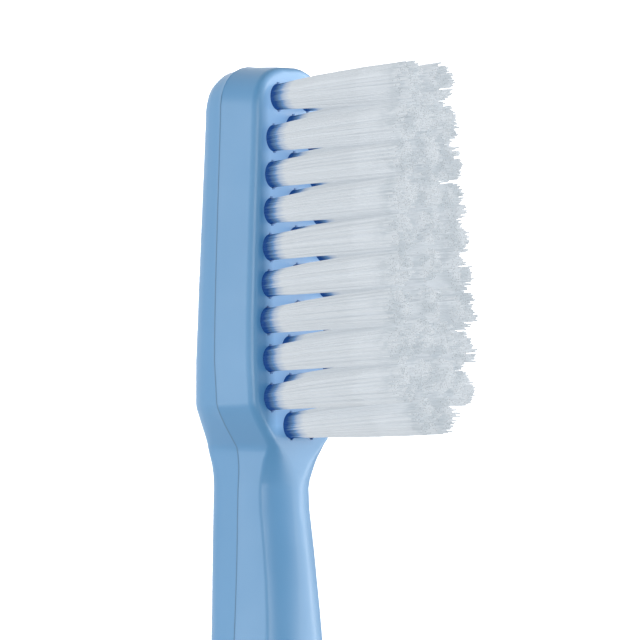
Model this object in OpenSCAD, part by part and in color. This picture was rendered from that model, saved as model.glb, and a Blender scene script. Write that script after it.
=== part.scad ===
// Manual toothbrush: one moulded handle, thirty tufts of nylon filament that stand in
// round blind holes, and the flat wire plates that anchor them.
// The brush lies on its flat back. +X runs to the tip of the head, +Z follows the
// filaments, and the origin is under the middle of the brush.

/* [Whole brush] */
// Length from the tip of the head to the end of the handle
brush_length = 180; // [150:1:200]
// Height of the parting seam above the back
seam_height = 2.72; // [2.65:0.01:2.9]
// How far the head's back stands above the grip's back
head_lift = 1.05; // [0:0.05:2]

/* [Head] */
// Height of the filament face above the head's back
head_thickness = 5.57; // [5.2:0.01:6.5]
// How far the head's back rises towards the tip, which thins it
tip_back_rise = 0.35; // [0:0.05:0.6]
// Radius of the head's back edges
head_back_radius = 2.3; // [1.5:0.1:2.35]
// Radius of the edge round the filament face
face_edge_radius = 0.6; // [0.3:0.05:0.65]
// Length over which the tip of the head is rounded in plan
tip_round = 3.4; // [2.6:0.1:4]
// Plastic between the first row's holes and the tip
tip_wall = 1.2; // [0.9:0.05:2]
// Plastic between the second row's outer holes and the side of the head
narrow_side_wall = 0.92; // [0.8:0.02:2]
// Plastic between the seventh row's outer holes and the side of the head
wide_side_wall = 0.92; // [0.8:0.01:2]
// How much the head still widens from the seventh row to the shoulder, on each side
heel_flare = 0.14; // [0:0.02:0.6]
// Distance from the ninth row to the start of the shoulder
shoulder_lead = 0.25; // [0:0.05:0.5]
// Length of the shoulder, from full head width to the neck
shoulder_length = 2.8; // [2.6:0.05:5]

/* [Tuft rows] */
// Diameter of a tuft hole
hole_diameter = 1.7; // [1.4:0.05:1.75]
// Depth of a tuft hole
hole_depth = 3.2; // [2.6:0.1:3.6]
// Distance from the first row to the second
tip_row_gap = 2.6; // [2.4:0.05:3.2]
// Distance between the rows of three tufts
row_pitch = 2.28; // [2.1:0.02:2.8]
// Distance from a row of four tufts to the row before it
four_row_gap = 2.4; // [2.3:0.05:3]
// Distance from the ninth row to the last row
heel_row_gap = 1.77; // [1.6:0.05:2.6]
// Distance across the first row's pair of tufts
tip_pair_pitch = 3; // [2.2:0.1:3.2]
// Distance from the middle tuft to an outer one in the second row
narrow_column_pitch = 2.04; // [1.95:0.02:2.4]
// Distance from the middle tuft to an outer one in the seventh row
wide_column_pitch = 3.14; // [2.6:0.02:3.4]
// Distance between neighbours in the rows of four
four_column_pitch = 1.98; // [1.95:0.01:2.1]
// Distance across the last row's pair of tufts
heel_pair_pitch = 2.08; // [2:0.02:2.4]
// How far the middle tuft of the second row stands ahead of its row
narrow_row_bow = 0.65; // [0.4:0.05:0.7]
// How far the middle tuft of the seventh row stands ahead of its row
wide_row_bow = 0.37; // [0.2:0.05:0.6]
// How far the inner tufts of the rows of four stand ahead of their row
four_row_bow = 0.6; // [0.45:0.05:0.65]

/* [Tufts] */
// Free length of the filaments above the face
filament_length = 10.5; // [9:0.1:12]
// Width across one drawn strand, which stands for a few filaments
strand_width = 0.28; // [0.2:0.01:0.28]
// Space between a tuft's root and the wall of its hole
root_clearance = 0.03; // [0.02:0.01:0.06]
// Height of the folded filaments under the anchor
fold_height = 0.3; // [0.2:0.05:0.4]

/* [Anchors] */
// Height of an anchor plate
anchor_height = 1.4; // [1:0.1:1.6]
// Thickness of an anchor plate
anchor_thickness = 0.25; // [0.15:0.01:0.3]
// How far an anchor plate bites into the wall of its hole on each side
anchor_bite = 0.06; // [0.03:0.01:0.1]
// Space round an anchor plate
anchor_clearance = 0.02; // [0.01:0.01:0.03]

/* [Neck] */
// Width of the neck
neck_width = 5.38; // [4.6:0.02:7.2]
// Thickness of the neck at its thinnest
neck_thickness = 5.38; // [5:0.01:6]
// Radius of the neck's back edges
neck_back_radius = 1.4; // [1:0.05:1.8]
// Width of the flat strip along the crest of the neck's front
neck_crest_width = 0.3; // [0.1:0.05:2]
// How far the neck's front slopes down from its crest to its sides
neck_front_drop = 1.15; // [0.6:0.05:1.5]
// Distance from the foot of the shoulder to the thinnest place
neck_lead = 2.7; // [2.4:0.1:5]
// Distance from the thinnest place to where the neck begins to swell
neck_length = 4; // [3:0.5:10]

/* [Grip] */
// Distance from the tip to the widest place of the thumb pad
thumb_distance = 74; // [66:1:84]
// Width of the handle at the thumb pad
thumb_width = 12.4; // [10:0.1:15]
// Thickness of the handle at the thumb pad
thumb_thickness = 7; // [6:0.1:9]
// Distance from the thumb pad to the waist behind it
waist_distance = 27; // [22:1:32]
// Width of the waist
waist_width = 10.4; // [8:0.1:14]
// Thickness of the waist
waist_thickness = 6.6; // [5.6:0.1:9]
// Distance from the waist to the fullest place of the palm grip
palm_distance = 34; // [26:1:38]
// Width of the palm grip
palm_width = 11.8; // [9:0.1:15]
// Thickness of the palm grip
palm_thickness = 7.4; // [6:0.1:10]
// Width of the handle where its rounded end begins
end_width = 9.6; // [8:0.1:12]
// Thickness of the handle at its end
end_thickness = 6; // [5.6:0.1:8]
// Length over which the end of the handle is rounded in plan
end_round = 7; // [4:0.5:10]
// Radius of the grip's back edges
grip_back_radius = 2.3; // [1.5:0.1:2.35]
// How far the grip's rounded front edges reach in from its sides
grip_front_inset = 3; // [1.5:0.1:3.4]
// How far the grip's rounded front edges reach down from its front
grip_front_drop = 2.1; // [1:0.1:2.4]

/* [Thumb ribs] */
// Number of low ribs across the thumb pad
rib_count = 7; // [0:1:9]
// Distance from one rib to the next
rib_pitch = 2.6; // [2:0.1:3]
// Height of a rib
rib_height = 0.35; // [0.1:0.05:0.6]

/* [Moulding] */
// How far each side leans in from the seam to the front and to the back
draft = 0.1; // [0:0.01:0.14]
// Height of the seam's bead above the side
seam_bead = 0.04; // [0.02:0.01:0.08]
// Width of the seam's bead
seam_bead_width = 0.16; // [0.1:0.01:0.18]

/* [Hidden] */
row_tufts = [2, 3, 3, 3, 3, 3, 3, 4, 4, 2];
rows = len(row_tufts);
second_row = 1;
seventh_row = 6;
first_four_row = 7;
ninth_row = 8;
last_row = rows - 1;

// Strands of a tuft, counted in rings from its middle outwards
ring_strands = [3, 9];
// Places of the rings, as shares of the widest place that a strand can have
ring_shares = [0.4, 1];
strand_sides = 4;
// How much wider a tuft is at its tip than at its root
tip_spread_share = 0.3;
// How much the whole field of tufts fans out from its middle
fan_share = 0.03;
// How far the strands start inside the root, as a share of the hole's depth
strand_root_share = 0.08;
root_sides = 12;

// Power of the rounded corners in plan: 2 is an ellipse, more is squarer
tip_power = 2.55;
end_power = 2.3;
// Power of the front's rounded edges: 2 is an ellipse, less is closer to a slope
edge_power = 2;
neck_edge_power = 1.35;
cap_steps = 8;
cap_first_angle = 9;
edge_steps = 5;
rings_per_rib = 4;
hole_fn = 24;
overrun = 0.5;

tip_x = brush_length / 2;
hole_radius = hole_diameter / 2;
face_height = head_lift + head_thickness;
hole_floor = face_height - hole_depth;
root_radius = hole_radius - root_clearance;
anchor_width = hole_diameter + 2 * anchor_bite;
anchor_floor = hole_floor + root_clearance + fold_height + anchor_clearance;
anchor_top = anchor_floor + anchor_height;
filament_top = face_height + filament_length;

// Names of the nodes, with rows and tufts counted from the tip and from the +Y side
function row_label(r) = str(r < 9 ? "0" : "", r + 1);
function tuft_name(r, k) = str("tuft_row_", row_label(r), "_", k + 1);
function anchor_name(r) = str("anchors_row_", row_label(r));

function mix(a, b, t) = a + (b - a) * t;

// Distance from the tip to a row, measured at its outer tufts
function row_gap(r) =
    r == 0 ? tip_wall + hole_radius
    : r == second_row ? tip_row_gap
    : r < first_four_row ? row_pitch
    : r < last_row ? four_row_gap
    : heel_row_gap;
function row_distance(r) = r < 0 ? 0 : row_distance(r - 1) + row_gap(r);

// How far a row lies between the second and the seventh, from 0 to 1
function taper(r) = (r - second_row) / (seventh_row - second_row);

// Distance between neighbours in a row
function tuft_pitch(r) =
    r == 0 ? tip_pair_pitch
    : r < first_four_row ? mix(narrow_column_pitch, wide_column_pitch, taper(r))
    : r < last_row ? four_column_pitch
    : heel_pair_pitch;

// How far a row's inner tufts stand ahead of its outer ones
function row_bow(r) =
    row_tufts[r] == 3 ? mix(narrow_row_bow, wide_row_bow, taper(r))
    : row_tufts[r] == 4 ? four_row_bow
    : 0;
function is_inner(r, k) = row_tufts[r] > 2 && k > 0 && k < row_tufts[r] - 1;
function tuft_place(r, k) = [
    tip_x - row_distance(r) + (is_inner(r, k) ? row_bow(r) : 0),
    tuft_pitch(r) * ((row_tufts[r] - 1) / 2 - k)
];
field_middle = [tip_x - row_distance(last_row) / 2, 0];

// Half widths that follow the holes
narrow_half = narrow_column_pitch + hole_radius + narrow_side_wall;
wide_half = wide_column_pitch + hole_radius + wide_side_wall;
heel_half = wide_half + heel_flare;

shoulder_start = row_distance(ninth_row) + shoulder_lead;
neck_start = shoulder_start + shoulder_length;
neck_thin = neck_start + neck_lead;
neck_end = neck_thin + neck_length;
waist_place = thumb_distance + waist_distance;
palm_place = waist_place + palm_distance;
end_start = brush_length - end_round;

// Sections of the handle: half width, height of the front, height of the back, radius of
// the back edges, reach in, reach down and power of the front edges, lift of it all
head_section = head_at(heel_half, 0);
tip_section = head_at(narrow_half, tip_back_rise);
neck_inset = (neck_width - neck_crest_width) / 2 - draft;
neck_lift_share = 0.786;
neck_section = [neck_width / 2, neck_thickness, 0, neck_back_radius, neck_inset,
    neck_front_drop, neck_edge_power, head_lift * neck_lift_share];
thumb_section = grip_at(thumb_width, thumb_thickness);
waist_section = grip_at(waist_width, waist_thickness);
palm_section = grip_at(palm_width, palm_thickness);
end_section = grip_at(end_width, end_thickness);

// Places on the shoulder where its slope begins and ends, as shares of its length, and
// how far each part of the section has gone from head to neck at four places
slope_start_share = 0.27;
slope_end_share = 0.9;
shoulder_start_shares = [0.05, 0, 0, 0.42, 0, 0, 0, 0];
slope_start_shares = [0.2, 0, 0, 0.56, 0.01, 0, 0, 0];
slope_end_shares = [0.78, 0.1, 0, 1.5, 0.08, 0, 0, 0];
shoulder_foot_shares = [0.88, 0.25, 0, 1.8, 0.17, 0.04, 0.08, 0];
neck_rise_share = 0.42;
neck_rise_shares = [0.95, 0.9, 0, 1.4, 0.75, 0.75, 0.6, 0.1];
// The same on the way from neck to thumb pad
neck_end_shares = [0.018, 0.26, 0, -0.05, 0, 0, 0, 0.19];
swell_place_share = 0.086;
swell_shares = [0.06, 0.47, 0, 0.15, 0.15, 0, 0.15, 0.37];
grip_place_share = 0.35;
grip_shares = [0.36, 0.78, 0, 0.6, 0.5, 0.5, 0.6, 0.7];
flat_place_share = 0.68;
flat_shares = [0.77, 0.93, 0, 0.87, 0.83, 0.84, 0.87, 1];
tip_rise_left_share = 0.3;

function blend(a, b, shares) = [for (c = [0 : len(a) - 1]) mix(a[c], b[c], shares[c])];
function head_at(half, rise) = [half, head_thickness, rise, head_back_radius,
    face_edge_radius, face_edge_radius, edge_power, head_lift];
function grip_at(width, thickness) = [width / 2, thickness, 0, grip_back_radius,
    grip_front_inset, grip_front_drop, edge_power, 0];
function shoulder_at(share, shares) = concat(
    mix(shoulder_start, neck_start, share),
    blend(head_section, neck_section, shares)
);
function swell_at(share, shares) = concat(
    mix(neck_end, thumb_distance, share),
    blend(neck_section, thumb_section, shares)
);

// Stations along the brush: distance from the tip, then the section there
profile = [
    concat(tip_round, tip_section),
    concat(row_distance(seventh_row), head_at(wide_half, tip_back_rise * tip_rise_left_share)),
    concat(row_distance(first_four_row), head_section),
    shoulder_at(0, shoulder_start_shares),
    shoulder_at(slope_start_share, slope_start_shares),
    shoulder_at(slope_end_share, slope_end_shares),
    shoulder_at(1, shoulder_foot_shares),
    concat(mix(neck_start, neck_thin, neck_rise_share),
        blend(head_section, neck_section, neck_rise_shares)),
    concat(neck_thin, neck_section),
    swell_at(0, neck_end_shares),
    swell_at(swell_place_share, swell_shares),
    swell_at(grip_place_share, grip_shares),
    swell_at(flat_place_share, flat_shares),
    concat(thumb_distance, thumb_section),
    concat(waist_place, waist_section),
    concat(palm_place, palm_section),
    concat(end_start, end_section)
];
// Number of rings from each station to the next
span_rings = [6, 1, 1, 2, 3, 1, 3, 3, 3, 2, 4, 3, 4, 5, 5, 4];

// Smooth curve through the stations that never overshoots them
function steepness(i, c) =
    (profile[i + 1][c] - profile[i][c]) / (profile[i + 1][0] - profile[i][0]);
function tangent(i, c) =
    i == 0 ? steepness(0, c)
    : i == len(profile) - 1 ? steepness(i - 1, c)
    : let (before = steepness(i - 1, c), after = steepness(i, c))
        before * after <= 0 ? 0 : 2 * before * after / (before + after);
function smooth_value(i, t, c) =
    let (span = profile[i + 1][0] - profile[i][0])
    (2 * t ^ 3 - 3 * t ^ 2 + 1) * profile[i][c]
    + (t ^ 3 - 2 * t ^ 2 + t) * span * tangent(i, c)
    + (3 * t ^ 2 - 2 * t ^ 3) * profile[i + 1][c]
    + (t ^ 3 - t ^ 2) * span * tangent(i + 1, c);

// Reach in from the widest outline and height, from the back to the front
function section_points(v) =
    let (front = v[1], back = v[2], back_r = v[3], front_in = v[4], front_down = v[5])
    let (bend = 2 / v[6], lift = v[7])
    let (back_squash = (seam_height - back) / seam_height)
    concat(
        [for (k = [0 : edge_steps]) let (a = 90 * k / edge_steps)
            [draft + back_r * (1 - sin(a)),
                lift + back + back_squash * back_r * (1 - cos(a))]],
        [
            [0, lift + seam_height - seam_bead_width / 2],
            [-seam_bead, lift + seam_height],
            [0, lift + seam_height + seam_bead_width / 2]
        ],
        [for (k = [0 : edge_steps]) let (a = 90 * k / edge_steps)
            [draft + front_in * (1 - cos(a) ^ bend),
                lift + front - front_down * (1 - sin(a) ^ bend)]]
    );

// Closed ring from the +Y half of a section
function ring(points) = concat(
    points,
    [for (k = [len(points) - 1 : -1 : 0]) [points[k][0], -points[k][1], points[k][2]]]
);
function body_ring(distance, v) =
    ring([for (p = section_points(v)) [tip_x - distance, v[0] - p[0], p[1]]]);
// Ring of a rounded end, whose outline shrinks towards the end's centre
function cap_ring(angle, v, centre, reach, power) =
    let (along = cos(angle) ^ (2 / power), across = sin(angle) ^ (2 / power))
    ring([for (p = section_points(v)) [
        centre + sign(reach) * (abs(reach) - p[0]) * along,
        (v[0] - p[0]) * across,
        p[1]
    ]]);
function cap_angle(k) = mix(cap_first_angle, 90, k / cap_steps);

// Low ribs across the thumb pad, as a wave that starts and ends in a valley
rib_reach = rib_count * rib_pitch / 2;
function rib_rise(distance) =
    let (turns = (distance - thumb_distance + rib_reach) / rib_pitch)
    turns > 0 && turns < rib_count ? rib_height * (1 - cos(360 * turns)) / 2 : 0;

// Distances of the rings from the tip: by station, and closer together over the ribs
plain_distances = [
    for (i = [0 : len(profile) - 2])
        for (k = [(i == 0 ? 1 : 0) : span_rings[i] - 1])
            mix(profile[i][0], profile[i + 1][0], k / span_rings[i])
];
rib_steps = rib_count * rings_per_rib;
distances = concat(
    [for (d = plain_distances) if (d < thumb_distance - rib_reach - rib_pitch / 2) d],
    [for (k = [0 : rib_steps]) thumb_distance - rib_reach + rib_pitch * k / rings_per_rib],
    [for (d = plain_distances) if (d > thumb_distance + rib_reach + rib_pitch / 2) d]
);
function span_of(distance, i = 0) =
    i == len(profile) - 2 || distance < profile[i + 1][0] ? i : span_of(distance, i + 1);
function section_at(distance) =
    let (i = span_of(distance))
    let (t = (distance - profile[i][0]) / (profile[i + 1][0] - profile[i][0]))
    [for (c = [1 : len(head_section)])
        smooth_value(i, t, c) + (c == 2 ? rib_rise(distance) : 0)];
rings = concat(
    [for (k = [0 : cap_steps])
        cap_ring(cap_angle(k), tip_section, tip_x - tip_round, tip_round, tip_power)],
    [for (d = distances) body_ring(d, section_at(d))],
    [for (k = [cap_steps : -1 : 0])
        cap_ring(cap_angle(k), end_section, tip_x - end_start, -end_round, end_power)]
);

// Skin of a body through rings of equal point counts, closed by strips across its ends
module skin(rings) {
    n = len(rings[0]);
    last = len(rings) - 1;
    sides = [
        for (i = [0 : last - 1])
            for (k = [0 : n - 1])
                let (a = i * n + k, b = i * n + (k + 1) % n)
                each [[a, b, b + n], [a, b + n, a + n]]
    ];
    function strip(start, k) = [start + k, start + k + 1, start + n - 2 - k, start + n - 1 - k];
    first_end = [
        for (k = [0 : n / 2 - 2])
            let (q = strip(0, k))
            each [[q[0], q[2], q[1]], [q[0], q[3], q[2]]]
    ];
    last_end = [
        for (k = [0 : n / 2 - 2])
            let (q = strip(last * n, k))
            each [[q[0], q[1], q[2]], [q[0], q[2], q[3]]]
    ];
    polyhedron(
        points = [for (one = rings) each one],
        faces = concat(sides, first_end, last_end)
    );
}

module tuft_hole() {
    translate([0, 0, hole_floor])
        cylinder(d = hole_diameter, h = hole_depth + overrun, $fn = hole_fn);
}

// Upright plate that lies along the brush, grown by the given space below and on its sides
module plate(space, top) {
    translate([-anchor_width / 2 - space, -anchor_thickness / 2 - space, anchor_floor - space])
        cube([
            anchor_width + 2 * space,
            anchor_thickness + 2 * space,
            top - anchor_floor + space
        ]);
}

// The anchors are driven in from the face, so each leaves an open slit beside its hole
module handle() {
    color([0.45, 0.64, 0.85])
        difference() {
            skin(rings);
            for (r = [0 : last_row])
                for (k = [0 : row_tufts[r] - 1])
                    translate(tuft_place(r, k)) {
                        tuft_hole();
                        plate(anchor_clearance, face_height + overrun);
                    }
        }
}

// Strands of one tuft, as offsets from its root's middle at the root and at the tip
strand_reach = root_radius - strand_width * sqrt(2) / 2;
strand_places = [
    for (i = [0 : len(ring_strands) - 1])
        for (k = [0 : ring_strands[i] - 1])
            [ring_shares[i] * strand_reach, 360 * (k + i / 2) / ring_strands[i]]
];
strand_foot = face_height - strand_root_share * hole_depth;

function strand_ring(middle, angle, height) = [
    for (k = [0 : strand_sides - 1])
        let (a = angle + 360 * (k + 0.5) / strand_sides)
        [
            middle[0] + strand_width * cos(a) / sqrt(2),
            middle[1] + strand_width * sin(a) / sqrt(2),
            height
        ]
];

// One strand, upright in its root and leaning outwards from the face to its trimmed tip
module strand(place, lean) {
    foot = [place[0] * cos(place[1]), place[0] * sin(place[1])];
    n = strand_sides;
    polyhedron(
        points = concat(
            strand_ring(foot, place[1], strand_foot),
            strand_ring(foot, place[1], face_height),
            strand_ring(foot * (1 + tip_spread_share) + lean, place[1], filament_top)
        ),
        faces = concat(
            [for (k = [1 : n - 2]) [0, k, k + 1]],
            [for (k = [1 : n - 2]) [2 * n, 2 * n + k + 1, 2 * n + k]],
            [for (i = [0, n]) for (k = [0 : n - 1]) each [
                [i + k, i + n + k, i + n + (k + 1) % n],
                [i + k, i + n + (k + 1) % n, i + (k + 1) % n]
            ]]
        )
    );
}

module tuft(r, k) {
    place = tuft_place(r, k);
    lean = (place - field_middle) * fan_share;
    color([0.85, 0.88, 0.92])
        translate(place) {
            difference() {
                translate([0, 0, hole_floor + root_clearance])
                    cylinder(
                        r = root_radius,
                        h = hole_depth - root_clearance,
                        $fn = root_sides
                    );
                plate(anchor_clearance, anchor_top + anchor_clearance);
            }
            for (one = strand_places)
                strand(one, lean);
        }
}

module anchors(r) {
    color([0.78, 0.74, 0.62])
        for (k = [0 : row_tufts[r] - 1])
            translate(tuft_place(r, k))
                plate(0, anchor_top);
}

handle();
for (r = [0 : last_row])
    for (k = [0 : row_tufts[r] - 1])
        tuft(r, k);
for (r = [0 : last_row])
    anchors(r);
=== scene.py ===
import math
import random

import bmesh
import bpy
from bpy.props import (
    FloatProperty,
    FloatVectorProperty,
    IntProperty,
    PointerProperty,
)
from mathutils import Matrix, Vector


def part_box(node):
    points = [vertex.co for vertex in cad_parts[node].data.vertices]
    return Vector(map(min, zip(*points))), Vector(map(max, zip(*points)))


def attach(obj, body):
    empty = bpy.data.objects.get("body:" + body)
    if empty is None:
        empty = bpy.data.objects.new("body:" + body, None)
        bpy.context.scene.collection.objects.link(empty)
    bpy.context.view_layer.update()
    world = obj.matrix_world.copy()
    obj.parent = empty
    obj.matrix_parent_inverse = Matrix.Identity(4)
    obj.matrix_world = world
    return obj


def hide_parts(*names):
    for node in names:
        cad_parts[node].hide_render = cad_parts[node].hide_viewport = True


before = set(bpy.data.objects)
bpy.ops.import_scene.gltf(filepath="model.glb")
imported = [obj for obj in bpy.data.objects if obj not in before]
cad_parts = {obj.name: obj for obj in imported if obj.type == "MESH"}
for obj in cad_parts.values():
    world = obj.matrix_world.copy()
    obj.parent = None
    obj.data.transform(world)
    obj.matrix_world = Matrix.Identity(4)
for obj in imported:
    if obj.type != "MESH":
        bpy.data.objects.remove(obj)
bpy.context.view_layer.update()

bl_info = {
    "name": "Manual Toothbrush",
    "version": (1, 0, 0),
    "blender": (4, 5, 0),
    "location": "3D View > Sidebar > Toothbrush",
    "description": "Moulds the handle, sets its tufts of nylon filament and dresses the anchors",
    "category": "Object",
}

MM = 0.001
TUFTS = sorted(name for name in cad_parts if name.startswith("tuft_row_"))
ANCHORS = sorted(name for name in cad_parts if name.startswith("anchors_row_"))
# Heights and places nearer to each other than this count as one
NEARLY = 0.01 * MM
# Reading the frame: a tuft's foot is its lowest part, this high, and the face of the head
# is looked for within this many radii of a tuft's middle
FOOT_BAND = 0.1 * MM
RIM_REACH = 1.1

# Handle: points closer than this are merged
MERGE_DISTANCE = 0.001 * MM
# Parting seam: half the width of its bead over its side, the step that tells a flank of the
# bead (less than this along the handle and more in height), its least distance from the
# middle of the handle, and the painted shade along its crest as a share of the plastic's colour
BEAD_REACH = 0.11 * MM
FLANK_STEP = 0.02 * MM
BEAD_ASIDE = 1.0 * MM
SEAM_PAINTED_SHADE = 0.62

# Filament: its rings and sides, its rounded tip's width as a share of its own and that
# tip's length, how far its foot stands off the hole's floor, and the places of its two
# middle rings as shares of its free length
RINGS = 7
SIDES = 6
TIP_SHARE = 0.5
TIP_LENGTH = 0.04 * MM
FOOT_LIFT = 0.1 * MM
MIDDLE_RINGS = (0.33, 0.68)

# Tuft: the turn from one filament to the next that fills a round hole evenly, half the
# anchor's thickness with the filament's clearance from it in its own radii, and the share
# of its place along the anchor that a filament keeps beside it
EVEN_TURN = 2.399963
HALF_PLATE = 0.125 * MM
PLATE_CLEARANCE = 1.05
SQUEEZE = 0.96
# The filaments of one tuft stick together in this many clumps. A tuft fans out early on
# its way up, and the tufts within this reach of the foremost row by up to this much more.
CLUMPS = 14
FAN_POWER = 0.75
TIPWARD_REACH = 4.0 * MM
TIPWARD_SPREAD = 0.12
# Trimmed end: how far it slopes as a share of the unevenness, how much lower its rim is,
# and how far a filament may stand above the solid's
TRIM_SLOPE = 0.12
RIM_DROP = 0.25 * MM
RISE_LIMIT = 0.4 * MM
# Chance: how far filaments stray, as standard deviations. A place is a share of the hole's
# radius, a spread adds to the tuft's, a trim or a clump's rise is a share of the
# unevenness, and the last three are millimetres.
PLACE_CHANCE = 0.02
SPREAD_CHANCE = 0.05
TRIM_CHANCE = 0.2
RISE_CHANCE = 0.3
DRIFT_CHANCE = 0.06
STRAY_CHANCE = 0.05
BOW_CHANCE = 0.03
# Share of the lean from use that the tufts on the far side have
FAR_LEAN = 0.45
# How far a filament's shading follows its whole tuft, whose faces turn outwards by the
# first of these and upwards by the second
BUNDLE_SHADING = 0.65
BUNDLE_OUTWARDS = 0.4
BUNDLE_UPWARDS = 0.9

# Share of the nylon's colour that its surface sends back. Its glow, and the glow of the
# plastic among the tufts, are painted light: emission for the light that clear filaments pass
# on.
SURFACE_SHARE = 0.6
NYLON_PAINTED_LIGHT = 0.63
PLASTIC_PAINTED_LIGHT = 0.78
# The plastic's painted light sets in over this depth under the face and this length behind the
# last row, and fades from this far inside the outermost columns to this far outside them
GLOW_DEPTH = 0.3 * MM
GLOW_BEHIND = 0.8 * MM
GLOW_INSIDE = 0.6 * MM
GLOW_OUTSIDE = 0.4 * MM
# Height above the face over which the painted shade and the painted blue of the plastic seen
# through the filaments leave the nylon
ROOT_PAINTED_SHADE_HEIGHT = 1.7 * MM
# Depths under the tufts' top between which the ends' darker, mottled painted shade sets in
MOTTLE_FROM = 1.9 * MM
MOTTLE_FULL = 0.6 * MM

# Stage, in metres: the floor, its own glow and the room's light
FLOOR_SIZE = 8
FLOOR_HEIGHT = -0.45
FLOOR_GLOW = 0.28
ROOM_LIGHT = 0.3
# Soft boxes round the head: azimuth from the camera's side towards the tip, elevation,
# half the angle that they span across and up, and radiance
SOFT_BOXES = {
    "behind_low": (180, 13, 35, 9, 2.9),
    "behind_middle": (180, 34, 35, 10, 1.75),
    "behind_high": (180, 57, 35, 10, 2.63),
    "overhead": (180, 88, 25, 20, 0.06),
    "camera_side_high": (0, 58, 20, 12, 2.75),
    "camera_side_fill": (0, 14, 24, 24, 0.72),
    "camera_side_card": (0, -30, 24, 14, 1.85),
}
LIGHT_AIM = Vector((0.072, 0, 0.006))
LIGHT_DISTANCE = 0.75
# Lamp over the floor behind the head: its place, power in watts, cone and softness
BACKGROUND_PLACE = (0.086, -0.62, 0.05)
BACKGROUND_POWER = 11.0
BACKGROUND_CONE = math.radians(85)
BACKGROUND_SOFTNESS = 0.08
# Camera: place in millimetres, turn in degrees and lens in millimetres of a 36 mm sensor
CAMERA_PLACE = (66.956, 315.449, 242.763)
CAMERA_TURN = (3.00992, -53.32391, -92.48483)
CAMERA_LENS = 353.34
CAMERA_SENSOR = 36


def root_of(node):
    """Middle of a tuft's round root, at the height of its foot, and the root's radius."""
    points = [v.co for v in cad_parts[node].data.vertices]
    foot = min(p.z for p in points)
    low = [p for p in points if p.z < foot + FOOT_BAND]
    xs = [p.x for p in low]
    ys = [p.y for p in low]
    middle = Vector(((max(xs) + min(xs)) / 2, (max(ys) + min(ys)) / 2, foot))
    return middle, (max(xs) - min(xs)) / 2


def face_of_head():
    """Height of the flat face that the tufts stand in."""
    middle, radius = root_of(TUFTS[0])
    heights = [
        v.co.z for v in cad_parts["handle"].data.vertices
        if (v.co.xy - middle.xy).length < radius * RIM_REACH
    ]
    return max(heights)


FACE = face_of_head()
FILAMENT_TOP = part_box(TUFTS[0])[1].z
ANCHOR_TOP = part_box(ANCHORS[0])[1].z
ROOTS = {name: root_of(name) for name in TUFTS}
FIELD_LOW = min(root[0].x for root in ROOTS.values())
FIELD_HIGH = max(root[0].x for root in ROOTS.values())
FIELD_SIDE = max(root[0].y for root in ROOTS.values())


class ToothbrushSizes(bpy.types.PropertyGroup):
    """Sizes of the pieces that the frame doesn't fix"""

    filaments_per_tuft: IntProperty(
        name="Filaments per tuft",
        description="Number of filament ends that stand out of one hole",
        default=165,
        min=30,
        max=220,
    )
    filament_width: FloatProperty(
        name="Filament width",
        description="Diameter of one nylon filament",
        default=0.128 * MM,
        min=0.08 * MM,
        max=0.3 * MM,
        precision=5,
        unit="LENGTH",
    )
    trim_unevenness: FloatProperty(
        name="Trim unevenness",
        description="How far the trimmed ends of a tuft may lie above or below each other",
        default=0.5 * MM,
        min=0.0,
        max=1.5 * MM,
        precision=5,
        unit="LENGTH",
    )
    tuft_spread: FloatProperty(
        name="Tuft spread",
        description="Width of a tuft at its trimmed end, as a multiple of its width at the face",
        default=1.5,
        min=1.0,
        max=2.0,
    )
    field_fan: FloatProperty(
        name="Field fan",
        description="How much the whole field of tufts opens out towards the trimmed ends",
        default=0.06,
        min=0.0,
        max=0.1,
        subtype="FACTOR",
    )
    use_lean: FloatProperty(
        name="Lean from use",
        description="How far use has pushed the outer tufts towards the tip at their ends",
        default=0.6 * MM,
        min=0.0,
        max=1.5 * MM,
        precision=5,
        unit="LENGTH",
    )
    crease_angle: FloatProperty(
        name="Crease angle",
        description="Edges of the handle that turn more than this stay sharp",
        default=math.radians(50),
        min=math.radians(10),
        max=math.radians(80),
        subtype="ANGLE",
    )


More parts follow.
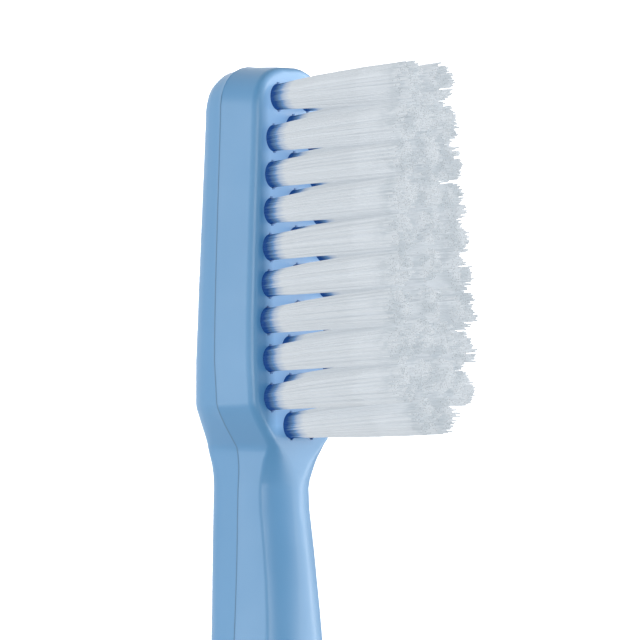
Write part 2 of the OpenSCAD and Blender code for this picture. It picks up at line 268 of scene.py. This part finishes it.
class ToothbrushColours(bpy.types.PropertyGroup):
    """Colours of the plastic, the nylon and the anchors"""

    plastic: FloatVectorProperty(
        name="Plastic",
        description="Body colour of the moulded handle",
        subtype="COLOR",
        size=3,
        min=0.0,
        max=1.0,
        default=(0.112, 0.338, 0.622),
    )
    plastic_deep: FloatVectorProperty(
        name="Plastic, deeper",
        description="Colour of the slightly denser clouds in the plastic",
        subtype="COLOR",
        size=3,
        min=0.0,
        max=1.0,
        default=(0.102, 0.32, 0.596),
    )
    # Painted light: the glow that the face of the head gets among the tufts
    face_painted_light: FloatVectorProperty(
        name="Plastic among the tufts",
        description="Colour of the light that clear filaments pass down to the face of the head",
        subtype="COLOR",
        size=3,
        min=0.0,
        max=1.0,
        default=(0.22, 0.32, 0.46),
    )
    nylon: FloatVectorProperty(
        name="Nylon",
        description="Colour of the free part of a filament",
        subtype="COLOR",
        size=3,
        min=0.0,
        max=1.0,
        default=(0.588, 0.628, 0.668),
    )
    # Painted shade: the darker, mottled colour near the trimmed ends
    nylon_end_painted_shade: FloatVectorProperty(
        name="Nylon at the ends",
        description="Colour of a filament near its trimmed end",
        subtype="COLOR",
        size=3,
        min=0.0,
        max=1.0,
        default=(0.488, 0.535, 0.578),
    )
    # Painted shade and the painted blue of the plastic seen through the filaments, at the root
    nylon_root_painted_shade: FloatVectorProperty(
        name="Nylon at the root",
        description="Colour that the plastic lends a filament where it leaves its hole",
        subtype="COLOR",
        size=3,
        min=0.0,
        max=1.0,
        default=(0.008, 0.06, 0.24),
    )
    # Painted shade and painted blue of the plastic, fading a little way above the face
    nylon_low_painted_shade: FloatVectorProperty(
        name="Nylon above the root",
        description="Colour of a filament a little way above the face of the head",
        subtype="COLOR",
        size=3,
        min=0.0,
        max=1.0,
        default=(0.12, 0.25, 0.48),
    )
    anchor: FloatVectorProperty(
        name="Anchor metal",
        description="Colour of the nickel silver wire",
        subtype="COLOR",
        size=3,
        min=0.0,
        max=1.0,
        default=(0.68, 0.64, 0.55),
    )


def sizes():
    """Sizes as set in the panel."""
    return bpy.context.scene.toothbrush_sizes


def colours():
    """Colours as set in the panel."""
    return bpy.context.scene.toothbrush_colours


class Graph:
    """Short way to lay out the nodes of one material. Most steps give a node with the name
    of its output, and take the like as a source."""

    def __init__(self, name):
        self.material = bpy.data.materials.new(name)
        self.material.use_nodes = True
        self.tree = self.material.node_tree
        self.tree.nodes.clear()
        self.shader = self.add("ShaderNodeBsdfPrincipled")
        output = self.add("ShaderNodeOutputMaterial")
        self.link((self.shader, "BSDF"), output, "Surface")

    def add(self, kind, **values):
        """New node. Each value is for one of its settings, or else for one of its sockets."""
        node = self.tree.nodes.new(kind)
        for key, value in values.items():
            if hasattr(node, key):
                setattr(node, key, value)
            else:
                node.inputs[key.replace("_", " ")].default_value = value
        return node

    def link(self, source, target, into):
        """Lead a source into one socket of a node."""
        node, out = source
        self.tree.links.new(node.outputs[out], target.inputs[into])

    def constant(self, socket, value):
        """Set a socket of the shader that is the same all over the surface."""
        self.shader.inputs[socket].default_value = value

    def surface(self, socket, source):
        """Lead a source into a socket of the shader."""
        self.link(source, self.shader, socket)

    def object_point(self):
        return self.add("ShaderNodeTexCoord"), "Object"

    def split(self, source):
        """Node whose outputs X, Y and Z are the parts of a vector."""
        node = self.add("ShaderNodeSeparateXYZ")
        self.link(source, node, "Vector")
        return node

    def noise(self, point, scale, detail=3.0, roughness=0.5):
        node = self.add("ShaderNodeTexNoise", Scale=scale, Detail=detail, Roughness=roughness)
        self.link(point, node, "Vector")
        return node, "Fac"

    def span(self, source, low, high, to_low, to_high):
        """Map a value from one span to another, held at both ends."""
        node = self.add(
            "ShaderNodeMapRange", From_Min=low, From_Max=high, To_Min=to_low, To_Max=to_high)
        self.link(source, node, "Value")
        return node, "Result"

    def ramp(self, source, stops):
        """Colour ramp with its stops given as (place, colour)."""
        node = self.add("ShaderNodeValToRGB")
        ramp = node.color_ramp
        while len(ramp.elements) < len(stops):
            ramp.elements.new(0.5)
        for element, (place, colour) in zip(ramp.elements, stops):
            element.position = place
            element.color = (*colour, 1.0)
        self.link(source, node, "Fac")
        return node, "Color"

    def sum(self, first, second, operation="ADD", clamp=False):
        """Two values added, or joined by another operation."""
        node = self.add("ShaderNodeMath", operation=operation, use_clamp=clamp)
        self.link(first, node, 0)
        self.link(second, node, 1)
        return node, "Value"

    def product(self, first, second):
        return self.sum(first, second, "MULTIPLY")

    def colour_mix(self, blend="MIX", **parts):
        """Mix of the colours A and B by Factor. Each is a source or a constant."""
        node = self.add("ShaderNodeMix", data_type="RGBA", blend_type=blend)
        for socket, part in parts.items():
            if isinstance(part, tuple) and isinstance(part[0], bpy.types.Node):
                self.link(part, node, socket)
            elif isinstance(part, float):
                node.inputs[socket].default_value = part
            else:
                node.inputs[socket].default_value = (*part, 1.0)
        return node, "Result"


def satin_plastic():
    """Moulded polypropylene: clouded blue, satin from the mould's fine spark texture, with a
    painted shade along the seam and painted light on the face among the tufts.
    """
    c = colours()
    g = Graph("satin_blue_plastic")
    point = g.object_point()
    tint = g.ramp(g.noise(point, 160.0, 2.0), [(0.3, c.plastic_deep), (0.7, c.plastic)])
    # Painted shade: the plastic is darker along the crest of the seam's bead
    seam = g.add("ShaderNodeAttribute", attribute_name="seam")
    painted_seam_shade = g.colour_mix(
        Factor=(seam, "Fac"), A=tint, B=SEAM_PAINTED_SHADE * Vector(c.plastic_deep))
    g.surface("Base Color", painted_seam_shade)
    g.surface("Roughness", g.span(g.noise(point, 420.0), 0.3, 0.7, 0.33, 0.39))
    bump = g.add("ShaderNodeBump", Strength=0.05, Distance=0.02 * MM)
    g.link(g.noise(point, 9000.0, 2.0), bump, "Height")
    g.surface("Normal", (bump, "Normal"))
    g.constant("IOR", 1.5)
    g.constant("Specular IOR Level", 1.0)
    # Painted light: the face among the tufts glows, for the light that clear filaments pass down
    # to it
    place = g.split(point)
    side = g.add("ShaderNodeMath", operation="ABSOLUTE")
    g.link((place, "Y"), side, 0)
    on_face = g.span((place, "Z"), FACE - GLOW_DEPTH, FACE, 0.0, 1.0)
    inside = g.span(
        (side, "Value"), FIELD_SIDE - GLOW_INSIDE, FIELD_SIDE + GLOW_OUTSIDE, 1.0, 0.0)
    past_last_row = g.span((place, "X"), FIELD_LOW - GLOW_BEHIND, FIELD_LOW, 0.0, 1.0)
    among = g.product(g.product(on_face, inside), past_last_row)
    g.surface("Emission Color", g.colour_mix(Factor=among, A=(0.0, 0.0, 0.0), B=c.face_painted_light))
    g.constant("Emission Strength", PLASTIC_PAINTED_LIGHT)
    return g.material


def nylon():
    """Clear white nylon, with painted shade and the painted blue of the plastic at its root,
    painted shade near its ends and on its tips, and a glow of painted light.
    """
    c = colours()
    g = Graph("nylon_filament")
    point = g.object_point()
    place = g.split(point)
    # The map's X is a filament's own shade and its Y the way along the filament
    own = g.split((g.add("ShaderNodeUVMap", uv_map="filament"), "UV"))

    # Painted shade and the painted blue of the plastic, darkest where a filament leaves its hole
    height = g.span((place, "Z"), FACE, FACE + ROOT_PAINTED_SHADE_HEIGHT, 0.0, 1.0)
    stagger = g.span((own, "X"), 0.0, 1.0, -0.06, 0.06)
    root = Vector(c.nylon_root_painted_shade)
    low = Vector(c.nylon_low_painted_shade)
    free = Vector(c.nylon)
    body = g.ramp(g.sum(height, stagger, clamp=True), [
        (0.12, root),
        (0.3, low * 0.65),
        (0.42, low),
        (0.6, low.lerp(free, 0.6)),
        (0.9, free),
    ])

    # Painted shade: the nylon turns darker and mottled near the trimmed ends
    near_end = g.span(
        (place, "Z"), FILAMENT_TOP - MOTTLE_FROM, FILAMENT_TOP - MOTTLE_FULL, 0.0, 1.0)
    mottle = g.span(g.noise(point, 900.0, 3.0, 0.6), 0.44, 0.58, 0.1, 1.0)
    end_painted_shade = g.colour_mix(Factor=g.product(near_end, mottle), A=body, B=c.nylon_end_painted_shade)

    # Painted shade: the rounded tips, which face the lights above, are darker
    tip_painted_shade = g.span((own, "Y"), 0.85, 1.0, 0.0, 0.3)
    shade = g.sum(g.span((own, "X"), 0.0, 1.0, 0.95, 1.0), tip_painted_shade, "SUBTRACT")
    grey = g.add("ShaderNodeCombineColor")
    for channel in ("Red", "Green", "Blue"):
        g.link(shade, grey, channel)
    tinted = g.colour_mix("MULTIPLY", Factor=1.0, A=end_painted_shade, B=(grey, "Color"))

    g.surface("Base Color", g.colour_mix(
        "MULTIPLY", Factor=1.0, A=tinted, B=(SURFACE_SHARE,) * 3))
    g.surface("Roughness", g.span(g.noise(point, 2600.0, 2.0), 0.3, 0.7, 0.45, 0.6))
    g.constant("IOR", 1.53)
    g.constant("Specular IOR Level", 0.2)
    g.constant("Subsurface Weight", 0.5)
    g.constant("Subsurface Radius", (0.95, 1.0, 1.0))
    g.constant("Subsurface Scale", 0.3 * MM)
    # Painted light: the nylon glows in its own colour
    g.surface("Emission Color", tinted)
    g.constant("Emission Strength", NYLON_PAINTED_LIGHT)
    return g.material


def anchor_metal():
    """Cropped nickel silver wire with fine draw lines along it."""
    c = colours()
    g = Graph("nickel_silver_wire")
    drawn = g.add("ShaderNodeMapping", Scale=(0.08, 1.0, 1.0))
    g.link(g.object_point(), drawn, "Vector")
    lines = g.noise((drawn, "Vector"), 14000.0)
    dull = [0.82 * value for value in c.anchor]
    g.surface("Base Color", g.ramp(lines, [(0.3, dull), (0.7, c.anchor)]))
    g.surface("Roughness", g.span(lines, 0.2, 0.8, 0.28, 0.45))
    g.constant("Metallic", 1.0)
    return g.material


def pale_paper():
    """Matt paper for the floor, with faint clouds and a glow that keeps it pale."""
    g = Graph("pale_paper")
    fibre = g.noise(g.object_point(), 30.0, 4.0)
    g.surface("Base Color", g.ramp(fibre, [(0.3, (0.9, 0.9, 0.9)), (0.7, (0.93, 0.93, 0.93))]))
    g.constant("Roughness", 0.9)
    g.constant("Emission Color", (1.0, 1.0, 1.0, 1.0))
    g.constant("Emission Strength", FLOOR_GLOW)
    return g.material


def select_only(piece):
    bpy.ops.object.select_all(action="DESELECT")
    piece.select_set(True)
    bpy.context.view_layer.objects.active = piece


def finish_piece(piece, material, slot, *nodes):
    """Give a piece its finish, let it ride and let it stand for its nodes."""
    piece.data.materials.clear()
    piece.data.materials.append(material)
    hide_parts(*nodes)
    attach(piece, "root")


def mark_seam(piece):
    """Mark the crest of the parting seam's bead, where the plastic gets a painted shade: its
    points have a close neighbour just above and one just below, at the same place along the
    handle."""
    bead = piece.data.attributes.new("seam", "FLOAT", "POINT")
    work = bmesh.new()
    work.from_mesh(piece.data)
    crest = []
    for point in work.verts:
        steps = [edge.other_vert(point).co - point.co for edge in point.link_edges]
        flanks = [
            step.z for step in steps
            if abs(step.x) < FLANK_STEP < abs(step.z) and step.length < BEAD_REACH
        ]
        if flanks and min(flanks) < 0 < max(flanks) and abs(point.co.y) > BEAD_ASIDE:
            crest.append(point.index)
    work.free()
    for index in crest:
        bead.data[index].value = 1.0


class TOOTHBRUSH_OT_mould_handle(bpy.types.Operator):
    """Mould the handle from the frame's solid, with smooth flanks and crisp creases"""

    bl_idname = "toothbrush.mould_handle"
    bl_label = "Mould the handle"
    bl_options = {"REGISTER", "UNDO"}

    def execute(self, context):
        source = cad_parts["handle"]
        piece = bpy.data.objects.new("moulded_handle", source.data.copy())
        context.collection.objects.link(piece)
        select_only(piece)
        bpy.ops.object.mode_set(mode="EDIT")
        bpy.ops.mesh.select_all(action="SELECT")
        bpy.ops.mesh.remove_doubles(threshold=MERGE_DISTANCE)
        bpy.ops.mesh.customdata_custom_splitnormals_clear()
        bpy.ops.object.mode_set(mode="OBJECT")
        bpy.ops.object.shade_smooth_by_angle(angle=sizes().crease_angle)
        weighted = piece.modifiers.new("Even normals", "WEIGHTED_NORMAL")
        weighted.mode = "FACE_AREA"
        weighted.weight = 50
        weighted.keep_sharp = True
        bpy.ops.object.modifier_apply(modifier=weighted.name)
        mark_seam(piece)
        finish_piece(piece, satin_plastic(), "handle", "handle")
        return {"FINISHED"}


def model_filament():
    """One straight filament, closed at both ends and with a rounded tip: a six-sided disc drawn
    up ring by ring. Gives its points in order, ring after ring from the foot, and its faces,
    sorted as well because their order after an extrusion differs from run to run."""
    radius = sizes().filament_width / 2
    bpy.ops.object.select_all(action="DESELECT")
    bpy.ops.mesh.primitive_circle_add(vertices=SIDES, radius=radius, fill_type="NGON")
    piece = bpy.context.object
    bpy.ops.object.mode_set(mode="EDIT")
    bpy.ops.mesh.select_all(action="SELECT")
    for _ in range(RINGS - 1):
        bpy.ops.mesh.extrude_region_move(TRANSFORM_OT_translate={"value": (0, 0, 1)})
    bpy.ops.transform.resize(value=(TIP_SHARE, TIP_SHARE, 1.0))
    bpy.ops.mesh.select_all(action="SELECT")
    bpy.ops.mesh.normals_make_consistent(inside=False)
    bpy.ops.object.mode_set(mode="OBJECT")
    order = sorted(
        piece.data.vertices,
        key=lambda v: (round(v.co.z), round(math.atan2(v.co.y, v.co.x), 3)),
    )
    place = {v.index: i for i, v in enumerate(order)}
    points = [v.co.copy() for v in order]
    faces = sorted(tuple(place[v] for v in face.vertices) for face in piece.data.polygons)
    bpy.data.objects.remove(piece, do_unlink=True)
    return points, faces


def levels(top):
    """Heights of a filament's rings: foot, beside the anchor, at the face, two on the way up,
    under the rounded tip and the tip itself."""
    hole_floor = ROOTS[TUFTS[0]][0].z
    free = top - FACE
    low, high = MIDDLE_RINGS
    return [
        hole_floor + FOOT_LIFT,
        ANCHOR_TOP,
        FACE,
        FACE + low * free,
        FACE + high * free,
        top - TIP_LENGTH,
        top,
    ]


def lean_of(root):
    """Where the end of a tuft lies beside its root: the columns fan out, and use has pushed
    the tufts towards the tip, most of all on one side."""
    s = sizes()
    near = max(0.0, (root.y / FIELD_SIDE + 1) / 2)
    return Vector((s.use_lean * (FAR_LEAN + (1 - FAR_LEAN) * near), root.y * s.field_fan))


def scatter(chance, deviation):
    """Chance step in plan."""
    return Vector((chance.gauss(0, deviation), chance.gauss(0, deviation)))


def anywhere(chance):
    """Chance place in the square round the hole, whose radius counts as one."""
    return Vector((chance.uniform(-1, 1), chance.uniform(-1, 1)))


def beside_anchor(foot, reach, radius):
    """Where a filament passes the anchor: in its own half of the hole, clear of the plate."""
    side = 1 if foot.y > 0 else -1
    clear = HALF_PLATE + PLATE_CLEARANCE * radius
    beside = Vector((foot.x * SQUEEZE, side * (clear + abs(foot.y) * (1 - clear / reach))))
    if beside.length > reach:
        beside *= reach / beside.length
        beside.y = side * max(abs(beside.y), clear)
    return beside


def filaments_of(name, chance):
    """Filaments of one tuft. The halves of the folded bundle stand each side of the anchor,
    leave the hole as one round bundle and open out towards the trimmed ends. Gives for each
    filament its rings as (middle, height), the way its bundle faces there and its shade."""
    s = sizes()
    root, hole_radius = ROOTS[name]
    radius = s.filament_width / 2
    reach = hole_radius - radius
    lean = lean_of(root)
    tipward = max(0.0, (root.x - FIELD_HIGH) / TIPWARD_REACH + 1)
    turn = chance.uniform(0, math.tau)
    slope = anywhere(chance) * TRIM_SLOPE
    clumps = [
        (anywhere(chance), chance.gauss(0, RISE_CHANCE), scatter(chance, DRIFT_CHANCE) * MM)
        for _ in range(CLUMPS)
    ]
    for i in range(s.filaments_per_tuft):
        distance = math.sqrt((i + 0.5) / s.filaments_per_tuft)
        angle = turn + i * EVEN_TURN
        place = Vector((math.cos(angle), math.sin(angle))) * distance
        place += scatter(chance, PLACE_CHANCE)
        if place.length > 1:
            place.normalize()
        foot = place * reach
        beside = beside_anchor(foot, reach, radius)
        _, rise, drift = min(clumps, key=lambda clump: (clump[0] - place).length)
        spread = s.tuft_spread * (1 + TIPWARD_SPREAD * tipward) + chance.gauss(0, SPREAD_CHANCE)
        stray = scatter(chance, STRAY_CHANCE) * MM
        end = foot * spread + lean + drift + stray
        bow = scatter(chance, BOW_CHANCE) * MM
        uneven = (place.dot(slope) + rise + chance.gauss(0, TRIM_CHANCE)) * s.trim_unevenness
        uneven -= RIM_DROP * place.length ** 4
        top = FILAMENT_TOP + min(RISE_LIMIT, uneven)
        rings = []
        for height in levels(top):
            if height <= ANCHOR_TOP + NEARLY:
                middle = beside
            elif height <= FACE + NEARLY:
                middle = foot
            else:
                t = (height - FACE) / (top - FACE)
                middle = foot.lerp(end, t ** FAN_POWER) + bow * math.sin(math.pi * t)
            rings.append((middle, height))
        bundle = Vector((*(BUNDLE_OUTWARDS * place), BUNDLE_UPWARDS)).normalized()
        yield rings, bundle, chance.random()


def plant_tuft(name, template, material, chance):
    """One tuft: the template is copied along each of its filaments."""
    unit_points, unit_faces = template
    root, _ = ROOTS[name]
    points, faces, shades, normals = [], [], [], []
    for rings, bundle, shade in filaments_of(name, chance):
        start = len(points)
        for k, (middle, height) in enumerate(rings):
            for p in unit_points[SIDES * k:SIDES * (k + 1)]:
                points.append((root.x + middle.x + p.x, root.y + middle.y + p.y, height))
                own = Vector((p.x, p.y, 0)).normalized()
                own.z = 1.0 if k == RINGS - 1 else 0.0
                normals.append(own.lerp(bundle, BUNDLE_SHADING).normalized())
        faces.extend(tuple(start + v for v in face) for face in unit_faces)
        shades.extend([shade] * len(unit_faces))
    mesh = bpy.data.meshes.new(name.replace("tuft", "filaments"))
    mesh.from_pydata(points, [], faces)
    uv = mesh.uv_layers.new(name="filament")
    for face, shade in zip(mesh.polygons, shades):
        for corner in face.loop_indices:
            ring = mesh.loops[corner].vertex_index % len(unit_points) // SIDES
            uv.data[corner].uv = (shade, ring / (RINGS - 1))
    piece = bpy.data.objects.new(mesh.name, mesh)
    bpy.context.collection.objects.link(piece)
    select_only(piece)
    bpy.ops.object.shade_smooth()
    mesh.normals_split_custom_set_from_vertices(normals)
    finish_piece(piece, material, "filament", name)


class TOOTHBRUSH_OT_plant_tufts(bpy.types.Operator):
    """Set a tuft of nylon filaments in each of the head's holes"""

    bl_idname = "toothbrush.plant_tufts"
    bl_label = "Plant the tufts"
    bl_options = {"REGISTER", "UNDO"}

    def execute(self, context):
        template = model_filament()
        material = nylon()
        chance = random.Random(30)
        for name in TUFTS:
            plant_tuft(name, template, material, chance)
        return {"FINISHED"}


class TOOTHBRUSH_OT_dress_anchors(bpy.types.Operator):
    """Give the anchors, which stay as the frame has them, their drawn metal finish"""

    bl_idname = "toothbrush.dress_anchors"
    bl_label = "Dress the anchors"
    bl_options = {"REGISTER", "UNDO"}

    def execute(self, context):
        metal = anchor_metal()
        for name in ANCHORS:
            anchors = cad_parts[name]
            for slot in anchors.material_slots:
                slot.material = metal
        return {"FINISHED"}


def soft_box(name, azimuth, elevation, half_width, half_height, radiance):
    """Soft box that faces the head and is equally bright all over."""
    azimuth, elevation = math.radians(azimuth), math.radians(elevation)
    data = bpy.data.lights.new(name, "AREA")
    data.shape = "RECTANGLE"
    data.size = 2 * LIGHT_DISTANCE * math.tan(math.radians(half_width))
    data.size_y = 2 * LIGHT_DISTANCE * math.tan(math.radians(half_height))
    data.energy = radiance * math.pi * data.size * data.size_y
    light = bpy.data.objects.new(name, data)
    away = Vector((
        math.cos(elevation) * math.sin(azimuth),
        math.cos(elevation) * math.cos(azimuth),
        math.sin(elevation),
    ))
    light.location = LIGHT_AIM + LIGHT_DISTANCE * away
    light.rotation_euler = away.to_track_quat("Z", "Y").to_euler()
    light.visible_camera = False
    bpy.context.collection.objects.link(light)


def background_lamp():
    """Lamp that shines straight down and whitens the floor behind the head."""
    data = bpy.data.lights.new("background_light", "SPOT")
    data.energy = BACKGROUND_POWER
    data.spot_size = BACKGROUND_CONE
    data.spot_blend = 1.0
    data.shadow_soft_size = BACKGROUND_SOFTNESS
    light = bpy.data.objects.new(data.name, data)
    light.location = BACKGROUND_PLACE
    bpy.context.collection.objects.link(light)


def photograph_camera():
    """Camera at the photograph's viewing angle."""
    data = bpy.data.cameras.new("camera")
    data.sensor_fit = "HORIZONTAL"
    data.sensor_width = CAMERA_SENSOR
    data.lens = CAMERA_LENS
    data.clip_start = 0.01
    camera = bpy.data.objects.new("camera", data)
    camera.location = [place * MM for place in CAMERA_PLACE]
    camera.rotation_euler = [math.radians(turn) for turn in CAMERA_TURN]
    bpy.context.collection.objects.link(camera)
    return camera


class TOOTHBRUSH_OT_set_stage(bpy.types.Operator):
    """Set the plain pale floor, the soft lights and the camera"""

    bl_idname = "toothbrush.set_stage"
    bl_label = "Set the stage"
    bl_options = {"REGISTER", "UNDO"}

    def execute(self, context):
        scene = context.scene
        bpy.ops.object.select_all(action="DESELECT")
        bpy.ops.mesh.primitive_plane_add(size=FLOOR_SIZE, location=(0, 0, FLOOR_HEIGHT))
        floor = context.object
        floor.name = "floor"
        floor.data.materials.append(pale_paper())

        for name, spec in SOFT_BOXES.items():
            soft_box(name, *spec)
        background_lamp()

        world = bpy.data.worlds.new("pale_room")
        world.use_nodes = True
        back = world.node_tree.nodes["Background"]
        back.inputs["Color"].default_value = (1.0, 1.0, 1.0, 1.0)
        back.inputs["Strength"].default_value = ROOM_LIGHT
        scene.world = world
        scene.view_settings.view_transform = "Standard"
        scene.camera = photograph_camera()
        return {"FINISHED"}


class TOOTHBRUSH_PT_panel(bpy.types.Panel):
    """Sizes, colours and steps of the toothbrush"""

    bl_idname = "TOOTHBRUSH_PT_panel"
    bl_label = "Toothbrush"
    bl_space_type = "VIEW_3D"
    bl_region_type = "UI"
    bl_category = "Toothbrush"

    def draw(self, context):
        column = self.layout.column()
        for group in (context.scene.toothbrush_sizes, context.scene.toothbrush_colours):
            for name in group.__annotations__:
                column.prop(group, name)
            column.separator()
        for step in STEPS:
            column.operator(step.bl_idname)


STEPS = (
    TOOTHBRUSH_OT_mould_handle,
    TOOTHBRUSH_OT_plant_tufts,
    TOOTHBRUSH_OT_dress_anchors,
    TOOTHBRUSH_OT_set_stage,
)
CLASSES = (ToothbrushSizes, ToothbrushColours, *STEPS, TOOTHBRUSH_PT_panel)


def register():
    for one in CLASSES:
        bpy.utils.register_class(one)
    bpy.types.Scene.toothbrush_sizes = PointerProperty(type=ToothbrushSizes)
    bpy.types.Scene.toothbrush_colours = PointerProperty(type=ToothbrushColours)


def unregister():
    del bpy.types.Scene.toothbrush_colours
    del bpy.types.Scene.toothbrush_sizes
    for one in reversed(CLASSES):
        bpy.utils.unregister_class(one)


def main():
    register()
    bpy.ops.toothbrush.mould_handle()
    bpy.ops.toothbrush.plant_tufts()
    bpy.ops.toothbrush.dress_anchors()
    bpy.ops.toothbrush.set_stage()


if __name__ == "__main__":
    main()
